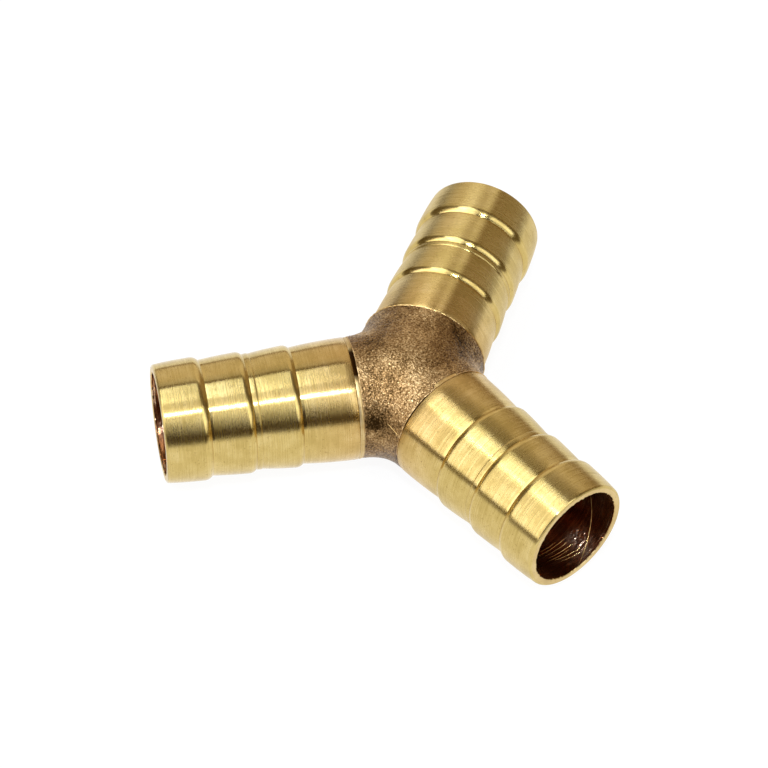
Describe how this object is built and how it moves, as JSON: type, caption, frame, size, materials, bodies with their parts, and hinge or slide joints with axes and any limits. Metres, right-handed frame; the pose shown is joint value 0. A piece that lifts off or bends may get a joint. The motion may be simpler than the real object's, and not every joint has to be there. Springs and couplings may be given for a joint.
{
  "type": "hose barb wye connector",
  "caption": "Brass hose-barb wye: a rough cast hub with equal turned tubular arms in one plane, each stepped with rounded barbs and open right through.",
  "frame": {"origin": "the point where the axes of the three bores meet, at the middle of the hub", "axes": "+X out of the mouth of arm A; arms B and C lie at 120 and 240 degrees from it about +Z; +Z is normal to the plane of the arms"},
  "size_m": [0.0666, 0.0768, 0.02],
  "materials": {
    "cast_brass": "rough as-cast skin, dull brown",
    "turned_brass": "bright turned, fine circumferential tool marks",
    "braze_alloy": "smooth bright golden fillet"
  },
  "bodies": {
    "root": {"hub_casting": "cast_brass", "barbed_tail_a": "turned_brass", "barbed_tail_b": "turned_brass", "barbed_tail_c": "turned_brass", "braze_ring_a": "braze_alloy", "braze_ring_b": "braze_alloy", "braze_ring_c": "braze_alloy"}
  },
  "joints": []
}
